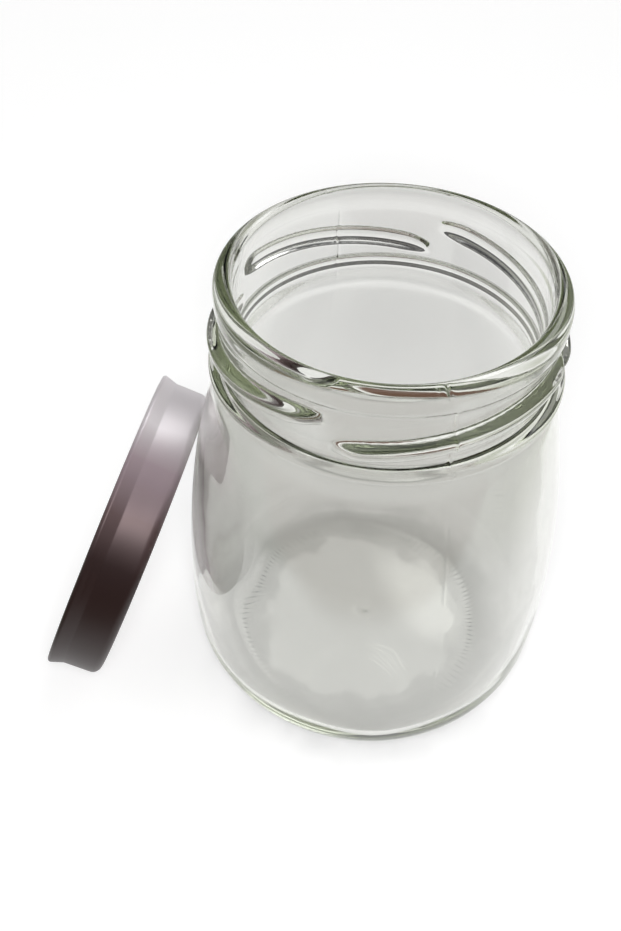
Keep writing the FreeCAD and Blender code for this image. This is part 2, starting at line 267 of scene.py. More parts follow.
class NodeTree:
    """Short calls to add and link the nodes of a material, the world or a lamp."""

    def __init__(self, owner: bpy.types.ID, output: str = "OutputMaterial") -> None:
        """Clears the owner's tree and adds its output."""
        owner.use_nodes = True
        self.tree = owner.node_tree
        self.tree.nodes.clear()
        self.output = self.add(output)

    def add(self, kind: str, **values: object) -> bpy.types.Node:
        """Adds a node and sets its properties and sockets by name.

        Args:
            kind: Type of the node, without its ShaderNode prefix.
            **values: Node properties, or socket names with underscores for blanks.

        Returns:
            The new node.
        """
        node = self.tree.nodes.new("ShaderNode" + kind)
        for key, value in values.items():
            if hasattr(node, key):
                setattr(node, key, value)
            else:
                node.inputs[key.replace("_", " ")].default_value = value
        return node

    def link(self, source: bpy.types.NodeSocket, target: bpy.types.NodeSocket) -> None:
        """Links two sockets."""
        self.tree.links.new(source, target)

    def math(self, operation: str, *terms: object) -> bpy.types.NodeSocket:
        """Adds a Math node over sockets or numbers and returns its result."""
        node = self.add("Math", operation=operation)
        for slot, term in zip(node.inputs, terms):
            if isinstance(term, bpy.types.NodeSocket):
                self.link(term, slot)
            else:
                slot.default_value = term
        return node.outputs[0]

    def place(self) -> bpy.types.NodeSocket:
        """Object coordinates, which are the row frame in metres."""
        return self.add("TexCoord").outputs["Object"]

    def split(self, place: bpy.types.NodeSocket) -> tuple:
        """X, Y and Z of a place or direction."""
        parts = self.add("SeparateXYZ")
        self.link(place, parts.inputs[0])
        return tuple(parts.outputs)

    def step(self, value: bpy.types.NodeSocket, low: float, high: float) -> bpy.types.NodeSocket:
        """Rises smoothly from 0 where the value is low to 1 where it is high."""
        node = self.add("MapRange", interpolation_type="SMOOTHSTEP", From_Min=low, From_Max=high)
        self.link(value, node.inputs["Value"])
        return node.outputs[0]

    def off(self, value: bpy.types.NodeSocket, middle: float, spread: float) -> bpy.types.NodeSocket:
        """Square of a value's distance from its middle over its spread."""
        away = self.math("DIVIDE", self.math("SUBTRACT", value, middle), spread)
        return self.math("MULTIPLY", away, away)

    def bell(self, square: bpy.types.NodeSocket) -> bpy.types.NodeSocket:
        """E to the minus square, which is a Gaussian of what was squared."""
        return self.math("EXPONENT", self.math("MULTIPLY", square, -1.0))

    def noise(self, **values: object) -> bpy.types.NodeSocket:
        """Noise on object coordinates, with the given scale, detail and roughness."""
        node = self.add("TexNoise", **values)
        self.link(self.place(), node.inputs["Vector"])
        return node.outputs[0]

    def finish(self, surface: bpy.types.NodeSocket) -> None:
        """Links a shader to the output."""
        self.link(surface, self.output.inputs["Surface"])


@dataclass(frozen=True)
class GlassFinish:
    """Clear container glass with a faint green-grey body and moulded fine relief."""

    ior: float = 1.52
    surface: tuple = (0.835, 0.835, 0.82, 1.0)
    tint: tuple = (0.87, 0.9, 0.80, 1.0)
    absorption: float = 26.0
    dots: int = 130
    dot_height: float = 0.08
    ring_radius: float = 27.6
    ring_spread: float = 1.8
    ring_top: float = 1.6
    ripple_height: float = 0.12
    ripple_scale: float = 70.0

    def relief(self, nodes: NodeTree, axis: Vector) -> bpy.types.NodeSocket:
        """Height of the fine relief, in metres.

        It is a cosine of the angle, times a Gaussian of the radius round the bearing ring,
        kept to the lowest part of the base, plus noise.

        Args:
            nodes: Nodes of the glass.
            axis: A point on the jar's axis, in metres.

        Returns:
            The height's socket.
        """
        x, y, z = nodes.split(nodes.place())
        x, y = nodes.math("SUBTRACT", x, axis.x), nodes.math("SUBTRACT", y, axis.y)
        radius = nodes.math("SQRT", nodes.math("ADD", nodes.off(x, 0.0, 1.0), nodes.off(y, 0.0, 1.0)))
        turn = nodes.math("MULTIPLY", nodes.math("ARCTAN2", y, x), float(self.dots))
        ring = nodes.bell(nodes.off(radius, self.ring_radius * MM, self.ring_spread * MM))
        ring = nodes.math("MULTIPLY", ring, nodes.math("LESS_THAN", z, self.ring_top * MM))
        dots = nodes.math("MULTIPLY", nodes.math("COSINE", turn), ring)
        height = nodes.math("MULTIPLY", dots, self.dot_height * MM)
        ripple = nodes.noise(Scale=self.ripple_scale, Detail=1.0, Roughness=0.4)
        return nodes.math("MULTIPLY_ADD", ripple, self.ripple_height * MM, height)

    def make(self, name: str, axis: Vector) -> bpy.types.Material:
        """Makes the glass, with a dotted bearing ring and the slow ripples of moulding.

        Args:
            name: Name of the material.
            axis: A point on the jar's axis, in metres.

        Returns:
            The material.
        """
        material = bpy.data.materials.new(name)
        nodes = NodeTree(material)
        shader = nodes.add("BsdfPrincipled", Base_Color=self.surface, Roughness=0.0, IOR=self.ior)
        shader.inputs["Transmission Weight"].default_value = 1.0
        absorb = nodes.add("VolumeAbsorption", Color=self.tint, Density=self.absorption)
        bump = nodes.add("Bump", Strength=1.0, Distance=1.0)
        nodes.link(self.relief(nodes, axis), bump.inputs["Height"])
        nodes.link(bump.outputs[0], shader.inputs["Normal"])
        nodes.finish(shader.outputs[0])
        nodes.link(absorb.outputs[0], nodes.output.inputs["Volume"])
        return material


@dataclass(frozen=True)
class LacquerWithPaintedShade:
    """Satin lacquer on tinplate, with painted reflection and shade: pale toward the lid's back edge,
    deepening to dark brown toward its front edge.
    """

    # The fade's stops are painted reflection and shade: pale where the lid's back edge catches bright
    # light, dark brown toward the shaded front edge.
    fade: tuple = (
        (0.03, (0.026, 0.012, 0.011, 1.0)),
        (0.10, (0.030, 0.013, 0.013, 1.0)),
        (0.21, (0.110, 0.068, 0.070, 1.0)),
        (0.36, (0.400, 0.315, 0.350, 1.0)),
        (0.50, (0.88, 0.83, 0.86, 1.0)),
    )
    metallic: float = 0.3
    roughness: float = 0.42
    cloud_scale: float = 38.0
    cloud_share: float = 0.10

    def make(self, name: str, low: float, high: float) -> bpy.types.Material:
        """Makes the lacquer, with its painted reflection and shade along Y.

        Args:
            name: Name of the material.
            low: Y of the lid's front edge, in metres.
            high: Y of its back edge.

        Returns:
            The material.
        """
        material = bpy.data.materials.new(name)
        nodes = NodeTree(material)
        _, y, _ = nodes.split(nodes.place())
        # Painted shade: the share along Y runs the fade from the lid's front edge to its back edge.
        share = nodes.math("DIVIDE", nodes.math("SUBTRACT", y, low), high - low)
        cloud = nodes.noise(Scale=self.cloud_scale, Detail=3.0, Roughness=0.5)
        uneven = nodes.math("MULTIPLY_ADD", cloud, self.cloud_share, -self.cloud_share / 2)
        share = nodes.math("ADD", share, uneven)
        ramp = nodes.add("ValToRGB")
        stops = ramp.color_ramp.elements
        while len(stops) < len(self.fade):
            stops.new(1.0)
        for stop, (place, colour) in zip(stops, self.fade):
            stop.position, stop.color = place, colour
        nodes.link(share, ramp.inputs[0])
        shader = nodes.add("BsdfPrincipled", Metallic=self.metallic, Roughness=self.roughness)
        nodes.link(ramp.outputs[0], shader.inputs["Base Color"])
        nodes.finish(shader.outputs[0])
        return material


@dataclass(frozen=True)
class PlainFinish:
    """A finish of one tone with a little cloudiness, for the lid's inside and its gasket."""

    colour: tuple
    metallic: float
    roughness: float
    cloud_scale: float = 60.0
    cloud_tone: tuple = (0.93, 0.92, 0.9, 1.0)

    def make(self, name: str) -> bpy.types.Material:
        """Makes the finish under the given name."""
        material = bpy.data.materials.new(name)
        nodes = NodeTree(material)
        mix = nodes.add("MixRGB", blend_type="MULTIPLY", Color1=self.colour, Color2=self.cloud_tone)
        nodes.link(nodes.noise(Scale=self.cloud_scale, Detail=4.0), mix.inputs[0])
        shader = nodes.add("BsdfPrincipled", Metallic=self.metallic, Roughness=self.roughness)
        nodes.link(mix.outputs[0], shader.inputs["Base Color"])
        nodes.finish(shader.outputs[0])
        return material


# ---- the jar


@dataclass
class Jar:
    """The glass jar: one closed surface from the base up the outside and down the inside."""

    height: float = 100.0
    belly_radius: float = 38.9
    belly_level: float = 22.0
    wall: float = 2.7
    heel_radius: float = 16.0
    heel_sink: float = 0.9
    inner_heel_radius: float = 10.0
    bearing_land: float = 1.4
    pushup_depth: float = 2.2
    base_thickness: float = 5.0
    floor_dome: float = 1.6
    lip_radius: float = 30.0
    lip_wall: float = 3.4
    lip_outer_round: float = 2.0
    lip_inner_round: float = 1.2
    lip_band: float = 4.2
    lip_underside: float = 0.8
    neck_inset: float = 0.6
    bead_proud: float = 1.7
    bead_drop: float = 17.2
    bead_above: float = 2.0
    bead_below: float = 1.7
    shoulder_proud: float = 0.35
    inner_shoulder_drop: float = 5.8
    inner_shoulder_step: float = 2.1
    inner_shoulder_slope: float = 32.0
    inner_shoulder_ease: float = 12.0
    lug_starts: int = 4
    lug_proud: float = 1.5
    lug_span: float = 87.0
    lug_azimuth: float = -103.5
    lug_rise: float = 5.2
    lug_drop: float = 12.8
    lug_half_width: float = 2.0
    lug_tip_share: float = 0.55
    lug_fade: float = 0.13
    lug_band: tuple = (83.5, 86.0, 95.5, 96.5)
    seam_azimuth: float = 113.0
    seam_height: float = 0.17
    seam_width: float = 0.3
    seam_span: float = 0.9
    seam_crowding: float = 5.0
    seam_band: tuple = (14.0, 20.0, 95.0, 96.5)
    seam_neck: tuple = (80.0, 84.0)
    seam_body_share: float = 0.06
    mark_depth: float = 0.6
    mark_radius: float = 1.5
    wave_band: tuple = (9.0, 20.0, 76.0, 84.0)
    waves: tuple = ((0.10, 2, 0.06, 0.7), (0.07, 5, -0.11, 0.0), (0.05, 9, 0.21, 2.0))
    knee_level: float = 8.5
    knee_spread: float = 4.5
    knee_radii: tuple = (14.0, 24.0)
    knees: tuple = ((0.30, 3, 1.1), (0.26, 5, 2.3), (0.16, 8, 0.0))
    softness: float = 0.35
    inset: float = 0.01
    fine_neck: tuple = (78.0, 81.0)
    fine_mouth: tuple = (97.0, 99.0)
    fine_shoulder: tuple = (70.0, 76.0, 82.0, 86.0)
    fine_heel: tuple = (24.0, 12.0)
    per_mm: tuple = (0.5, 4.4, 0.9, 0.5, 3.0)
    rings: int = 268
    around: int = 372
    glass: GlassFinish = field(default_factory=GlassFinish)

    def side_arc(self, inset: float, height: float) -> float:
        """Radius of an arc that starts upright and has gone in by inset at that height."""
        return (inset**2 + height**2) / (2 * inset)

    def heel(self, side: float, centre: float, bottom: float, radius: float) -> tuple:
        """Arc of a heel, tangent to the flat below it and to the side above it.

        The heel's centre lies side minus radius from the side's centre, and radius above
        the flat.

        Args:
            side: Radius of the side's arc.
            centre: Radius coordinate of the side's centre, which is at the belly's level.
            bottom: Level of the flat.
            radius: Radius of the heel.

        Returns:
            Radius where the heel leaves the flat, and the (radius, level) of its upper end.
        """
        drop = self.belly_level - bottom - radius
        reach = math.sqrt((side - radius) ** 2 - drop**2)
        scale = side / (side - radius)
        return centre + reach, (centre + reach * scale, self.belly_level - drop * scale)

    def outline(self) -> np.ndarray:
        """Half the jar's section: arcs and lines from the base's middle to the floor's."""
        top, lip = self.height, self.lip_radius
        neck, mouth, bead = lip - self.neck_inset, lip - self.lip_wall, lip + self.bead_proud
        bead_level = top - self.bead_drop
        shoulder = (lip + self.shoulder_proud, bead_level - self.bead_below)
        side = self.side_arc(self.belly_radius - shoulder[0], shoulder[1] - self.belly_level)
        flat, heel_end = self.heel(side, self.belly_radius - side, -self.heel_sink, self.heel_radius)
        heel = flat + math.sqrt(self.heel_sink * (2 * self.heel_radius - self.heel_sink))
        floor = self.pushup_depth + self.base_thickness
        edge = floor - self.floor_dome
        inner_belly = self.belly_radius - self.wall
        eased = (mouth + self.inner_shoulder_step, shoulder[1] - self.inner_shoulder_drop)
        inner = self.side_arc(inner_belly - eased[0], eased[1] - self.belly_level)
        inner_heel, inner_end = self.heel(inner, inner_belly - inner, edge, self.inner_heel_radius)
        land = heel - self.bearing_land
        slope = math.radians(self.inner_shoulder_slope)
        lean = math.asin((eased[1] - self.belly_level) / inner)
        ease = self.inner_shoulder_ease
        bent = (
            eased[0] - ease * (math.cos(lean) - math.cos(slope)),
            eased[1] + ease * (math.sin(slope) - math.sin(lean)),
        )
        bend = (bent[0] - mouth) / (1 - math.cos(slope))
        below, above = bead - shoulder[0], bead - neck
        below_arc = (below**2 + self.bead_below**2) / (below * 4)
        above_arc = (above**2 + self.bead_above**2) / (above * 4)
        corners = [
            (0.0, self.pushup_depth),
            (land, 0.0),
            (heel, 0.0),
            heel_end,
            shoulder,
            (bead - below / 2, bead_level - self.bead_below / 2),
            (bead, bead_level),
            (bead - above / 2, bead_level + self.bead_above / 2),
            (neck, bead_level + self.bead_above),
            (neck, top - self.lip_band - self.lip_underside),
            (lip, top - self.lip_band),
            (lip, top - self.lip_outer_round),
            (lip - self.lip_outer_round, top),
            (mouth + self.lip_inner_round, top),
            (mouth, top - self.lip_inner_round),
            (mouth, bent[1] + bend * math.sin(slope)),
            bent,
            eased,
            inner_end,
            (inner_heel, edge),
            (0.0, floor),
        ]
        arcs = {
            0: ((land**2 + self.pushup_depth**2) / (2 * self.pushup_depth), 1),
            2: (self.heel_radius, -1),
            3: (side, -1),
            4: (below_arc, 1),
            5: (below_arc, -1),
            6: (above_arc, -1),
            7: (above_arc, 1),
            11: (self.lip_outer_round, -1),
            13: (self.lip_inner_round, -1),
            15: (bend, -1),
            16: (ease, 1),
            17: (inner, 1),
            18: (self.inner_heel_radius, 1),
            19: ((inner_heel**2 + self.floor_dome**2) / (2 * self.floor_dome), -1),
        }
        return soften(path(corners, arcs, closed=False), self.softness, closed=False)

    def lugs(self, angle: np.ndarray, level: np.ndarray) -> np.ndarray:
        """Height of the lugs over the neck.

        Each lug climbs evenly with the angle. Across it the height is a rounded crown,
        (1 - distance^3) to the power 1.4, and along it sine ramps to the power 0.8 fade
        both ends, which are narrower too.

        Args:
            angle: Angles around the axis, in radians.
            level: Levels above the base.

        Returns:
            Height at each angle and level.
        """
        sector = 360.0 / self.lug_starts
        share = ((np.degrees(angle) - self.lug_azimuth) % sector) / self.lug_span
        middle = self.height - self.lug_drop + self.lug_rise * share
        ends = np.clip(np.minimum(share, 1 - share) / self.lug_fade, 0, 1)
        fade = np.sin(ends * math.pi / 2) ** 0.8
        half = self.lug_half_width * (self.lug_tip_share + (1 - self.lug_tip_share) * fade)
        across = np.clip(np.abs(level - middle) / half, 0, 1)
        crown = (1 - across**3) ** 1.4
        return (self.lug_proud + self.neck_inset) * fade * crown

    def from_seam(self, degrees: np.ndarray) -> np.ndarray:
        """Degrees from the nearer of the two mould seams, which are opposite each other."""
        return (degrees - self.seam_azimuth + 90) % 180 - 90

    def angles(self) -> np.ndarray:
        """Angles of the grid's columns, in radians, closer together at the two mould seams.

        The spacing is one over 1 plus a Gaussian of the distance from a seam, which is as
        high as the seams' crowding.
        """
        fine = np.linspace(0, 360, 360 * 20 + 1)
        weight = 1 + self.seam_crowding * bell(self.from_seam(fine), 0.0, self.seam_span)
        total = np.concatenate([[0.0], np.cumsum((weight[1:] + weight[:-1]) / 2)])
        wanted = np.arange(self.around) * total[-1] / self.around
        return np.radians(np.interp(wanted, total, fine))

    def section(self) -> np.ndarray:
        """Radius and level of each ring, from the pole under the base to the one over it.

        Rings lie closest over the neck and lip, closer than elsewhere at the inner shoulder,
        the heel and the middle of the base, and the middle's small mark hangs down from it.
        """
        dense = self.outline()
        radius, level = dense.T
        outside = np.arange(len(dense)) < np.argmax(level)
        mouth = np.where(outside, 1.0, smoothstep(*self.fine_mouth, level))
        plain, at_neck, at_shoulder, at_heel, at_middle = self.per_mm
        density = plain + at_neck * smoothstep(*self.fine_neck, level) * mouth
        density += at_shoulder * between(self.fine_shoulder, level) * ~outside
        density += at_heel * smoothstep(*self.fine_heel, level)
        density += at_middle * bell(radius, 0.0, 2 * self.mark_radius) * outside
        section = spaced(dense, density, self.rings, closed=False)
        outside = np.arange(self.rings) < np.argmax(section[:, 1])
        section[:, 1] -= self.mark_depth * bell(section[:, 0], 0.0, self.mark_radius) * outside
        return section

    def raised(self, angle: np.ndarray, radius: np.ndarray, level: np.ndarray) -> np.ndarray:
        """How far the lugs and the fine Gaussian ridge of the seams stand out."""
        away = np.radians(self.from_seam(np.degrees(angle))) * radius
        neck = smoothstep(*self.seam_neck, level)
        share = self.seam_body_share + (1 - self.seam_body_share) * neck
        seam = self.seam_height * bell(away, 0.0, self.seam_width) * share * between(self.seam_band, level)
        return self.lugs(angle, level) * between(self.lug_band, level) + seam

    def uneven(self, angle: np.ndarray, radius: np.ndarray, level: np.ndarray) -> np.ndarray:
        """How far the inside waves, as in blown glass, most of all round the heel.

        Along the wall it is a sum of sines of the angle and the level, and round the heel a
        sum of sines of the angle.
        """
        along, round_heel = 0.0, 0.0
        for height, lobes, twist, start in self.waves:
            along = along + height * np.sin(lobes * angle + twist * level + start)
        for height, lobes, start in self.knees:
            round_heel = round_heel + height * np.sin(lobes * angle + start)
        heel = bell(level, self.knee_level, self.knee_spread) * smoothstep(*self.knee_radii, radius)
        return along * between(self.wave_band, level) + round_heel * heel

    def surface(self, axis: Vector) -> tuple:
        """The jar's points and faces.

        A ring at each point of the section is turned round the axis. Lugs and seams push the
        outside out, and low waves move the inside.

        Args:
            axis: A point on the jar's axis, in metres.

        Returns:
            Points, four-cornered faces, and the triangles at the two poles.
        """
        section = self.section()
        outside = (np.arange(1, self.rings - 1) < np.argmax(section[:, 1]))[:, None]
        radius, level = section[1:-1].T[:, :, None]
        angle = self.angles()[None, :]
        raised = self.raised(angle, radius, level) - self.inset
        reach = radius + np.where(outside, raised, self.uneven(angle, radius, level))
        poles = np.array([[0, 0, section[0, 1]], [0, 0, section[-1, 1]]])
        points = np.vstack([turn_round(reach, level, angle), poles])
        points += [axis.x / MM, axis.y / MM, 0.0]
        rings = self.rings - 2
        faces = ring_faces(rings, self.around, closed=False)
        return points, faces, pole_fans(rings, self.around)

    def build(self, axis: Vector) -> None:
        """Makes the jar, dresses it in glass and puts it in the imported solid's place."""
        piece = make_piece("jar_glass", *self.surface(axis))
        piece.data.materials.append(self.glass.make("jar_glass", axis))
        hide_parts("jar")
        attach(piece, "root")
        LOG.info("jar: %d faces", len(piece.data.polygons))


# ---- the lid


@dataclass
class Lid:
    """The twist-off lid: a metal shell with a rolled curl and ears, and its gasket."""

    height: float = 11.0
    sheet: float = 0.35
    curl_radius: float = 33.15
    curl_width: float = 1.5
    curl_flare: float = 0.8
    flare_height: float = 3.4
    panel_round: float = 1.8
    channel_width: float = 5.6
    channel_step: float = 1.2
    panel_recess: float = 0.7
    ears: int = 4
    ear_span: float = 26.0
    ear_reach: float = 1.1
    ear_azimuth: float = 40.0
    ear_top: float = 2.25
    gasket_width: float = 5.2
    gasket_thickness: float = 1.1
    lean: float = 21.0
    azimuth: float = -3.3
    inset: float = 0.004
    softness: float = 0.09
    gasket_softness: float = 0.18
    fine_curl: tuple = (4.5, 3.0)
    fine_edge: tuple = ((9.0, 9.6), (29.0, 30.0))
    fine_step: tuple = (24.3, 1.2)
    per_mm: tuple = (0.35, 4.0, 3.0, 2.5)
    rings: int = 190
    gasket_rings: int = 64
    around: int = 288
    outside: LacquerWithPaintedShade = field(default_factory=LacquerWithPaintedShade)
    inside: PlainFinish = PlainFinish((0.90, 0.87, 0.85, 1.0), 0.1, 0.4)
    seal: PlainFinish = PlainFinish((0.80, 0.78, 0.74, 1.0), 0.0, 0.55)
    matrix: np.ndarray = field(init=False)
    offset: np.ndarray = field(init=False)

    def shell_outline(self) -> np.ndarray:
        """Section of the shell: outside from the middle to the curl, and back inside."""
        top, sheet, wire = self.height, self.sheet, self.curl_width / 2
        sunk = top - self.panel_recess
        centre = self.curl_radius - wire
        skirt = self.curl_radius - self.curl_flare
        flat = skirt - self.panel_round
        channel = flat - self.channel_width
        panel = channel - self.channel_step
        inner = wire - sheet
        corners = [
            (0.0, sunk),
            (panel, sunk),
            (channel, top),
            (flat, top),
            (skirt, top - self.panel_round),
            (skirt, self.flare_height),
            (self.curl_radius, wire),
            (centre, 0.0),
            (centre - wire, wire),
            (centre, self.curl_width),
            (centre, self.curl_width - sheet),
            (centre - inner, wire),
            (centre, sheet),
            (self.curl_radius - sheet, wire),
            (skirt - sheet, self.flare_height),
            (skirt - sheet, top - self.panel_round),
            (flat, top - sheet),
            (channel, top - sheet),
            (panel, sunk - sheet),
            (0.0, sunk - sheet),
        ]
        arcs = {
            3: (self.panel_round, 1),
            6: (wire, 1),
            7: (wire, 1),
            8: (wire, 1),
            10: (inner, -1),
            11: (inner, -1),
            12: (inner, -1),
            15: (self.panel_round - sheet, -1),
        }
        return soften(path(corners, arcs, closed=False), self.softness, closed=False, step=0.02)

    def turned(self, section: np.ndarray, poles: bool) -> tuple:
        """Turns a section round the lid's own axis, and pushes the ears of the curl in.

        The push is the ear's reach times sine squared along the ear, and falls to nothing
        from the inner to the outer side of the curl.

        Args:
            section: (radius, level) of each ring, with the poles first and last if any.
            poles: True if the section starts and ends on the axis, False if it's a loop.

        Returns:
            Points in the lid's frame, four-cornered faces and pole triangles.
        """
        rows = section[1:-1] if poles else section
        radius, level = rows.T[:, :, None]
        angle = np.arange(self.around)[None, :] * (2 * math.pi / self.around)
        sector = 360.0 / self.ears
        share = ((np.degrees(angle) - self.ear_azimuth) % sector) / self.ear_span
        push = np.where(share < 1, np.sin(math.pi * np.clip(share, 0, 1)) ** 2, 0.0)
        inward = smoothstep(self.curl_radius, self.curl_radius - self.curl_width, radius)
        low = smoothstep(self.ear_top, self.curl_width, level)
        reach = radius - self.inset - self.ear_reach * push * inward * low
        body = turn_round(reach, level, angle)
        quads = ring_faces(len(rows), self.around, closed=not poles)[:, ::-1]
        if not poles:
            return body, quads, []
        ends = np.array([[0, 0, section[0, 1]], [0, 0, section[-1, 1]]])
        fans = [fan[:, ::-1] for fan in pole_fans(len(rows), self.around)]
        return np.vstack([body, ends]), quads, fans

    def place(self, points: np.ndarray) -> None:
        """Works out how the lid leans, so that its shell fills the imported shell's box.

        The lid's axis turns from upright through 90 degrees plus the lean, about a level
        axis. Then the middle of the shell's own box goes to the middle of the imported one.

        Args:
            points: Points of the shell in the lid's frame, in millimetres.
        """
        turn = math.radians(self.azimuth)
        about = Vector((-math.sin(turn), math.cos(turn), 0))
        self.matrix = np.array(Matrix.Rotation(math.radians(90 + self.lean), 3, about)).T
        leaning = points @ self.matrix
        middle = (leaning.min(axis=0) + leaning.max(axis=0)) / 2
        low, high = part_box("lid_shell")
        self.offset = np.array((low + high) / 2 / MM) - middle

    def stand(self, points: np.ndarray) -> np.ndarray:
        """Moves points of the lid's frame to where the lid leans, in the row frame."""
        return points @ self.matrix + self.offset

    def shell_section(self) -> np.ndarray:
        """Rings of the shell, closest at the curl, the round edge and the channel's step."""
        dense = self.shell_outline()
        radius, level = dense.T
        levels, radii = self.fine_edge
        plain, at_curl, at_edge, at_step = self.per_mm
        density = plain + at_curl * smoothstep(*self.fine_curl, level)
        density += at_edge * smoothstep(*levels, level) * smoothstep(*radii, radius)
        density += at_step * bell(radius, *self.fine_step)
        return spaced(dense, density, self.rings, closed=False)

    def build_shell(self) -> None:
        """Makes the metal shell, lacquered one way outside, with painted reflection and shade, and another
        inside.

        It comes before the gasket, because it works out the place of both.
        """
        section = self.shell_section()
        points, quads, fans = self.turned(section, poles=True)
        self.place(points)
        piece = make_piece("lid_metal", self.stand(points), quads, fans)
        low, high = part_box("lid_shell")
        # The outside lacquer carries painted reflection and shade along the lid.
        piece.data.materials.append(self.outside.make("lid_outside", low.y, high.y))
        piece.data.materials.append(self.inside.make("lid_inside"))
        level = section[1:-1, 1]
        inside = np.arange(len(level)) > np.argmin(level)
        index = np.zeros(len(quads) + 2 * self.around, np.int32)
        index[: len(quads)] = np.repeat(inside[1:], self.around)
        index[-self.around :] = 1
        piece.data.polygons.foreach_set("material_index", index)
        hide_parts("lid_shell")
        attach(piece, "root")
        LOG.info("lid: %d faces", len(piece.data.polygons))

    def build_gasket(self) -> None:
        """Makes the soft ring in the channel, with rounded edges."""
        flat = self.curl_radius - self.curl_flare - self.panel_round
        inner = flat - self.gasket_width
        seat = self.height - self.sheet
        low = seat - self.gasket_thickness
        corners = [(inner, low), (flat, low), (flat, seat), (inner, seat)]
        dense = soften(path(corners, {}, closed=True), self.gasket_softness, closed=True)
        section = spaced(dense, np.ones(len(dense)), self.gasket_rings, closed=True)
        points, quads, fans = self.turned(section, poles=False)
        piece = make_piece("lid_seal", self.stand(points), quads[:, ::-1], fans)
        piece.data.materials.append(self.seal.make("lid_seal"))
        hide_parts("lid_gasket")
        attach(piece, "root")
        LOG.info("gasket: %d faces", len(piece.data.polygons))


# ---- the studio


class Glow(Enum):
    """Broad patches of the world's light: direction, inner and outer angle, and colour."""

    TOP = ((0.15, -0.25, 1.0), 16.0, 36.0, (1.25, 1.25, 1.25))
    FRONT = ((0.05, -0.80, 0.55), 24.0, 50.0, (0.115, 0.105, 0.10))
    BACK = ((-0.14, 0.68, 0.70), 38.0, 54.0, (0.06, 0.06, 0.065))
    WINDOW = ((0.31, 0.65, 0.69), 9.0, 18.0, (3.2, 3.2, 3.2))


class Card(Enum):
    """Cards that lie on the floor round the jar, which only reflections and the glass show.

    Each has the direction that it lies in, the distances from the jar's axis over which it
    sets in, and its tone.
    """

    LEFT = ((-0.943, -0.333), 94.0, 125.0, (0.23, 0.24, 0.20))
    RIGHT = ((0.994, -0.111), 85.0, 170.0, (0.68, 0.70, 0.62))
    BACK = ((0.0, 1.0), 425.0, 470.0, (0.10, 0.10, 0.105))
    FRONT = ((0.0, -1.0), 86.0, 112.0, (0.18, 0.10, 0.07))


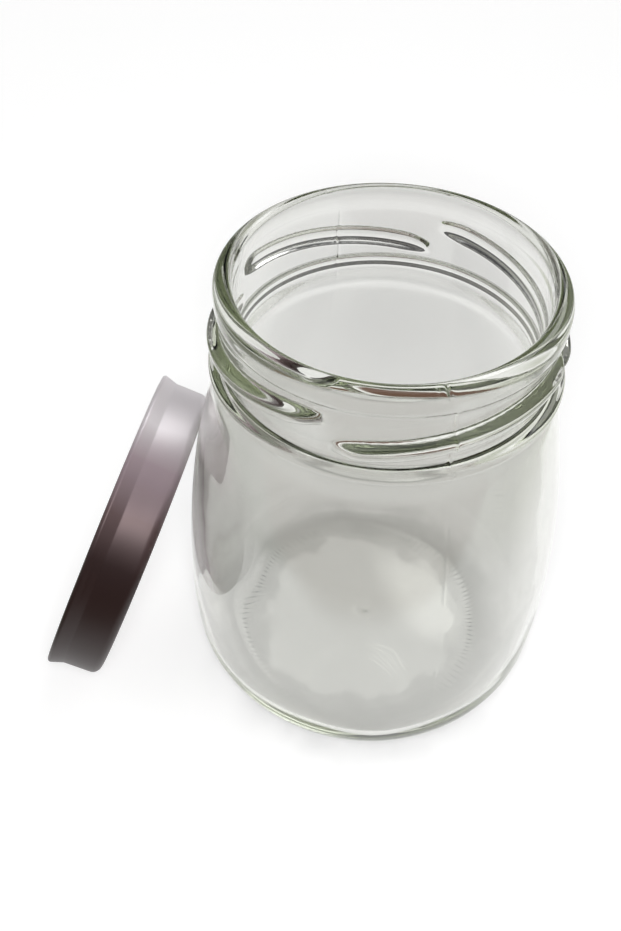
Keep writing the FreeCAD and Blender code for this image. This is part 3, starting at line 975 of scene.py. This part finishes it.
@dataclass
class Studio:
    """Floor, world light, lamps and camera round the object."""

    camera_place: tuple = (0.0, -128.052, 189.504)
    camera_yaw: float = -0.102
    camera_pitch: float = 0.82
    camera_roll: float = 0.019
    lens: float = 35.696957
    sensor: float = 36.0
    clip: tuple = (10.0, 20000.0)
    floor_half: float = 3000.0
    floor_drop: float = 0.05
    card_level: float = 0.1
    floor_colour: tuple = (0.50, 0.50, 0.50, 1.0)
    floor_shine: float = 0.62
    # Painted light and shade on the floor: a pool of light under the jar, a ring of less light round it
    # and a shadow behind it.
    pool_radius: float = 30.0
    pool_edge: float = 2.0
    pool_uneven: float = 13.0
    pool_scale: float = 90.0
    pool_gain: float = 0.18
    ring_radius: float = 37.0
    ring_spread: float = 6.0
    ring_loss: float = 0.20
    shadow_reach: float = 125.0
    shadow_length: float = 55.0
    shadow_width: float = 42.0
    shadow_loss: float = 0.16
    horizon: tuple = (0.05, (0.34, 0.34, 0.31, 1.0))
    zenith: tuple = (0.6, (1.0, 1.0, 1.0, 1.0))
    world_strength: float = 1.05
    key_watts: float = 4.8
    key_size: float = 34.0
    key_aim: float = 40.0
    bounces: int = 48
    glossy_bounces: int = 24

    def make_camera(self, base: Vector) -> None:
        """Sets the camera: level and along Y, then yawed, pitched down and rolled.

        Args:
            base: Middle of the jar's base, in metres.
        """
        data = bpy.data.cameras.new("camera")
        data.lens, data.sensor_width = self.lens, self.sensor
        data.clip_start, data.clip_end = (reach * MM for reach in self.clip)
        camera = bpy.data.objects.new("camera", data)
        place = Matrix.Translation(base + Vector(self.camera_place) * MM)
        yaw = Matrix.Rotation(-self.camera_yaw, 4, "Z")
        pitch = Matrix.Rotation(math.pi / 2 - self.camera_pitch, 4, "X")
        roll = Matrix.Rotation(self.camera_roll, 4, "Z")
        camera.matrix_world = place @ yaw @ pitch @ roll
        bpy.context.scene.collection.objects.link(camera)
        bpy.context.scene.camera = camera

    def floor_tone_with_painted_light(self, nodes: NodeTree, base: Vector) -> bpy.types.NodeSocket:
        """Tone of the floor: white, with painted light and shade under and behind the jar.

        A painted pool of gathered light is a disc with an uneven edge, with a painted Gaussian ring
        of less light round it. A wide Gaussian behind the jar is a painted soft shadow of its neck.

        Args:
            nodes: Nodes of the floor's material.
            base: Middle of the jar's base, in metres.

        Returns:
            The colour socket.
        """
        x, y, _ = nodes.split(nodes.place())
        x, y = nodes.math("SUBTRACT", x, base.x), nodes.math("SUBTRACT", y, base.y)
        radius = nodes.math("SQRT", nodes.math("ADD", nodes.off(x, 0.0, 1.0), nodes.off(y, 0.0, 1.0)))
        noise = nodes.noise(Scale=self.pool_scale, Detail=3.0)
        radius = nodes.math("MULTIPLY_ADD", noise, self.pool_uneven * MM, radius)
        # Painted pool of light under the jar, painted ring of shade round it and painted shadow behind it.
        pool = nodes.step(radius, self.pool_radius * MM, (self.pool_radius - self.pool_edge) * MM)
        ring = nodes.bell(nodes.off(radius, self.ring_radius * MM, self.ring_spread * MM))
        across = nodes.off(x, 0.0, self.shadow_width * MM)
        along = nodes.off(y, self.shadow_reach * MM, self.shadow_length * MM)
        shadow = nodes.bell(nodes.math("ADD", across, along))
        share = nodes.math("MULTIPLY_ADD", pool, self.pool_gain, 1.0)
        share = nodes.math("MULTIPLY_ADD", ring, -self.ring_loss, share)
        share = nodes.math("MULTIPLY_ADD", shadow, -self.shadow_loss, share)
        white = nodes.add("CombineXYZ")
        for slot in white.inputs:
            nodes.link(share, slot)
        return white.outputs[0]

    def sheet(self, name: str, corners: list, material: bpy.types.Material) -> bpy.types.Object:
        """Makes one flat four-cornered sheet of the studio, with its corners in metres."""
        mesh = bpy.data.meshes.new(name)
        mesh.from_pydata(corners, [], [(0, 1, 2, 3)])
        mesh.materials.append(material)
        piece = bpy.data.objects.new(name, mesh)
        bpy.context.scene.collection.objects.link(piece)
        return piece

    def make_floor(self, base: Vector) -> None:
        """Makes the pale floor, a plain sheet a hair under what stands on it.

        Rays from the camera, reflections and the glass see it lit partly by itself.
        """
        material = bpy.data.materials.new("floor")
        nodes = NodeTree(material)
        # The tone carries the floor's painted pool of light, ring of shade and shadow behind the jar.
        tone = self.floor_tone_with_painted_light(nodes, base)
        own = nodes.add("MixRGB", blend_type="MULTIPLY", Fac=1.0, Color2=self.floor_colour)
        nodes.link(tone, own.inputs["Color1"])
        shader = nodes.add("BsdfDiffuse")
        nodes.link(own.outputs[0], shader.inputs["Color"])
        seen = nodes.add("LightPath").outputs
        rays = nodes.math("ADD", seen["Is Camera Ray"], seen["Is Glossy Ray"])
        rays = nodes.math("ADD", rays, seen["Is Transmission Ray"])
        glow = nodes.add("Emission")
        nodes.link(tone, glow.inputs["Color"])
        shine = nodes.math("MULTIPLY", nodes.math("MINIMUM", rays, 1.0), self.floor_shine)
        nodes.link(shine, glow.inputs["Strength"])
        both = nodes.add("AddShader")
        nodes.link(shader.outputs[0], both.inputs[0])
        nodes.link(glow.outputs[0], both.inputs[1])
        nodes.finish(both.outputs[0])
        half, level = self.floor_half * MM, -self.floor_drop * MM
        sides = ((-half, -half), (half, -half), (half, half), (-half, half))
        floor = self.sheet("floor", [(base.x + x, base.y + y, level) for x, y in sides], material)

    def make_card(self, card: Card, level: float, base: Vector) -> None:
        """Lays one card a hair over the floor, hidden from the camera and casting nothing.

        Args:
            card: Which card.
            level: Its height over the floor, in metres.
            base: Middle of the jar's base, in metres.
        """
        (ahead_x, ahead_y), start, end, tone = card.value
        material = bpy.data.materials.new("card")
        nodes = NodeTree(material)
        x, y, _ = nodes.split(nodes.place())
        x, y = nodes.math("SUBTRACT", x, base.x), nodes.math("SUBTRACT", y, base.y)
        along = nodes.math("MULTIPLY_ADD", x, ahead_x, nodes.math("MULTIPLY", y, ahead_y))
        clear = nodes.add("BsdfTransparent")
        glow = nodes.add("Emission", Color=(*tone, 1))
        both = nodes.add("MixShader")
        nodes.link(nodes.step(along, start * MM, end * MM), both.inputs[0])
        nodes.link(clear.outputs[0], both.inputs[1])
        nodes.link(glow.outputs[0], both.inputs[2])
        nodes.finish(both.outputs[0])
        ahead, aside = Vector((ahead_x, ahead_y, 0)), Vector((-ahead_y, ahead_x, 0))
        near, half = start * MM, self.floor_half * MM
        spots = ((near, -half), (half, -half), (half, half), (near, half))
        middle = Vector((base.x, base.y, level))
        corners = [middle + ahead * out + aside * side for out, side in spots]
        piece = self.sheet(f"card_{card.name.lower()}", corners, material)
        piece.visible_camera = piece.visible_diffuse = piece.visible_shadow = False

    def make_world(self) -> None:
        """Lights the scene by a world that is bright overhead and grey at the horizon.

        Each Glow mixes its colour in, by a smooth step of the cosine of the angle from its
        direction.
        """
        world = bpy.data.worlds.new("studio")
        bpy.context.scene.world = world
        nodes = NodeTree(world, "OutputWorld")
        toward = nodes.add("TexCoord").outputs["Generated"]
        _, _, height = nodes.split(toward)
        ramp = nodes.add("ValToRGB")
        for stop, (place, colour) in zip(ramp.color_ramp.elements, (self.horizon, self.zenith)):
            stop.position, stop.color = place, colour
        nodes.link(height, ramp.inputs[0])
        colour = ramp.outputs[0]
        for glow in Glow:
            direction, inner, outer, tone = glow.value
            dot = nodes.add("VectorMath", operation="DOT_PRODUCT")
            dot.inputs[1].default_value = Vector(direction).normalized()
            nodes.link(toward, dot.inputs[0])
            limits = math.cos(math.radians(outer)), math.cos(math.radians(inner))
            mix = nodes.add("MixRGB", Color2=(*tone, 1))
            nodes.link(nodes.step(dot.outputs["Value"], *limits), mix.inputs["Fac"])
            nodes.link(colour, mix.inputs["Color1"])
            colour = mix.outputs[0]
        back = nodes.add("Background", Strength=self.world_strength)
        nodes.link(colour, back.inputs["Color"])
        nodes.finish(back.outputs[0])

    def make_key(self, base: Vector) -> None:
        """Hangs a small soft lamp where the camera stands, aimed at the jar.

        Its light doesn't fall off with distance, so that the floor is lit evenly.
        """
        data = bpy.data.lights.new("key", "AREA")
        data.size = self.key_size * MM
        data.energy = self.key_watts
        data.cycles.use_multiple_importance_sampling = False
        nodes = NodeTree(data, "OutputLight")
        falloff = nodes.add("LightFalloff", Strength=1.0)
        emission = nodes.add("Emission")
        nodes.link(falloff.outputs["Constant"], emission.inputs["Strength"])
        nodes.finish(emission.outputs[0])
        spot = base + Vector(self.camera_place) * MM
        target = base + Vector((0, 0, self.key_aim * MM))
        piece = bpy.data.objects.new("key", data)
        piece.location = spot
        piece.rotation_mode = "QUATERNION"
        piece.rotation_quaternion = (target - spot).to_track_quat("-Z", "Y")
        bpy.context.scene.collection.objects.link(piece)

    def build(self, base: Vector) -> None:
        """Makes the whole studio round the middle of the jar's base."""
        self.make_floor(base)
        for place, card in enumerate(Card, start=1):
            self.make_card(card, place * self.card_level * MM, base)
        self.make_world()
        self.make_key(base)
        self.make_camera(base)
        cycles = bpy.context.scene.cycles
        cycles.max_bounces = cycles.transmission_bounces = self.bounces
        cycles.glossy_bounces = self.glossy_bounces
        bpy.context.scene.view_settings.view_transform = "Standard"


def jar_base() -> Vector:
    """Middle of the jar's base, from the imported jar's box."""
    low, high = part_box("jar")
    return Vector(((low.x + high.x) / 2, (low.y + high.y) / 2, low.z))


def main() -> None:
    """Builds the jar, the lid and the studio."""
    logging.basicConfig(level=logging.INFO, format="%(name)s: %(message)s")
    base = jar_base()
    Jar().build(base)
    lid = Lid()
    lid.build_shell()
    lid.build_gasket()
    Studio().build(base)


if __name__ == "__main__":
    main()
